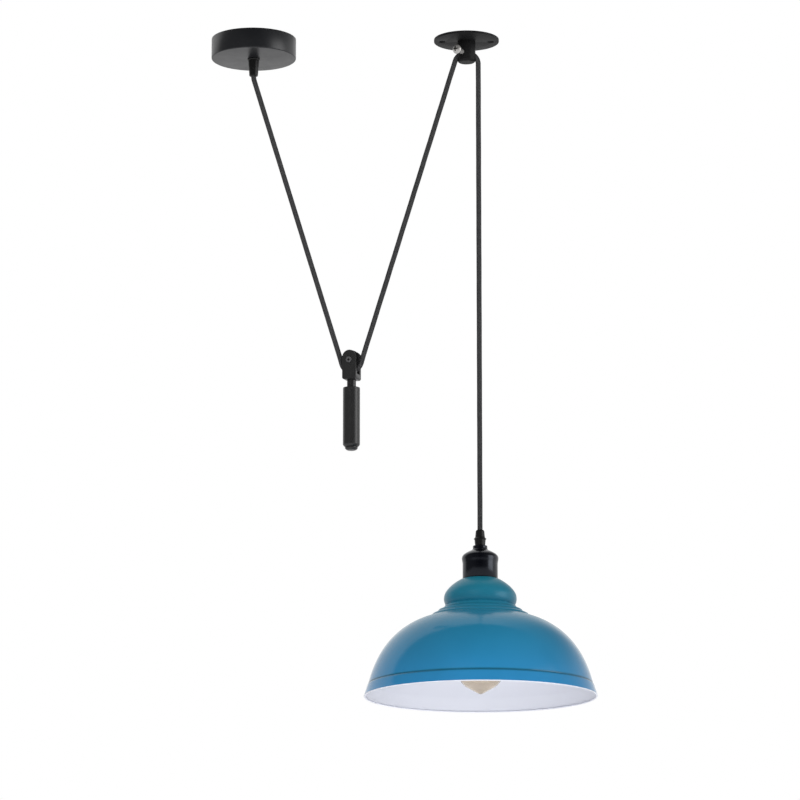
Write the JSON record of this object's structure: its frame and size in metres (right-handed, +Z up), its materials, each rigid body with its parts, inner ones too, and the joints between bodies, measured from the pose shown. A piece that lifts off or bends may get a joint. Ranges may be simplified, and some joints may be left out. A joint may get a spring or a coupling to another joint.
{
  "type": "rise and fall pendant lamp",
  "caption": "Ceiling pendant that rises and falls: a rose, a flex down round a weighted pulley and over a ceiling boss, and a lamp with a domed enamel shade.",
  "frame": {"origin": "middle of the suspension plate's upper face, on the ceiling, between its two screw holes", "axes": "+Z up, square to the ceiling; -X towards the ceiling rose and the counterweight; -Y the front"},
  "size_m": [0.486, 0.29, 0.8474],
  "materials": {
    "black_satin": "satin black powder coat",
    "black_plastic": "fine satin moulding",
    "black_steel": "blackened steel, brushed satin",
    "dark_screw": "blackened screw",
    "steel": "zinc plated",
    "brass": "turned, nickel free",
    "nylon": "natural moulding",
    "porcelain": "glazed porcelain",
    "flex_textile": "dark grey textile braid",
    "core_brown": "smooth insulation",
    "core_blue": "smooth insulation",
    "core_green": "green and yellow insulation",
    "blue_enamel": "glossy enamel, blue outside and white inside",
    "cap_metal": "rolled thread",
    "cap_glass": "black glass",
    "amber_glass": "clear, amber tinted",
    "mount_glass": "clear",
    "filament_wire": "coiled wire"
  },
  "bodies": {
    "ceiling": {"suspension_plate": "black_satin", "cord_boss": "black_satin", "boss_screw": "steel", "rose_cover": "black_satin", "rose_bracket": "steel", "rose_nipple": "brass", "rose_nipple_nut": "brass", "rose_grip_flange": "black_plastic", "rose_grip_cone": "black_plastic", "rose_grip_collet": "nylon", "terminal_block": "nylon", "clamp_screws": "steel", "block_screw": "steel", "earth_lug": "steel", "earth_screw": "brass", "core_live": "core_brown", "core_neutral": "core_blue", "core_earth": "core_green", "flex_rose_tail": "flex_textile", "flex_left_leg": "flex_textile", "flex_right_leg": "flex_textile", "flex_arch": "flex_textile", "flex_drop": "flex_textile"},
    "lock": {"lock_screw": "steel"},
    "weight": {"pulley_block": "black_steel", "axle_screw": "dark_screw", "axle_nut": "dark_screw", "weight_collar": "black_steel", "weight_rod": "steel", "counterweight": "black_steel", "weight_cap": "black_steel", "flex_wrap": "flex_textile"},
    "pulley": {"sheave": "black_steel", "sheave_bush": "brass"},
    "lamp": {"lamp_grip": "black_plastic", "lamp_grip_collet": "nylon", "flex_lamp_tail": "flex_textile", "holder_nipple": "brass", "holder_nut": "brass", "holder_cover": "black_satin", "holder_sleeve": "black_plastic", "holder_insert": "porcelain", "holder_screws": "brass", "holder_cores": "core_brown", "screw_shell": "brass", "centre_contact": "brass", "shade": "blue_enamel", "shade_ring": "black_satin", "bulb_cap": "cap_metal", "bulb_insulator": "cap_glass", "bulb_contact": "steel", "bulb_glass": "amber_glass", "bulb_mount": "mount_glass", "bulb_filament": "filament_wire"}
  },
  "joints": [
    {"name": "lamp_rise", "type": "slide", "parent": "ceiling", "child": "lamp", "axis": [0, 0, 1], "range_m": [-0.3, 0.25], "deforming": ["flex_drop"]},
    {"name": "weight_drop", "type": "slide", "parent": "ceiling", "child": "weight", "axis": [0, 0, 1], "range_m": [-0.135, 0.16], "deforming": ["flex_left_leg", "flex_right_leg"]},
    {"name": "sheave_spin", "type": "hinge", "parent": "weight", "child": "pulley", "pos_m": [-0.146, 0, -0.421], "axis": [0.3584, 0.9336, 0], "range_deg": [-640, 535]},
    {"name": "lock_screw_turn", "type": "hinge", "parent": "ceiling", "child": "lock", "pos_m": [0, 0, -0.0186], "axis": [-0.5299, -0.848, 0], "range_deg": [0, 720]}
  ],
  "couplings": [
    {"joint": "weight_drop", "follows": "lamp_rise", "ratio": -0.525},
    {"joint": "sheave_spin", "follows": "lamp_rise", "rad_per_m": 37.037}
  ]
}
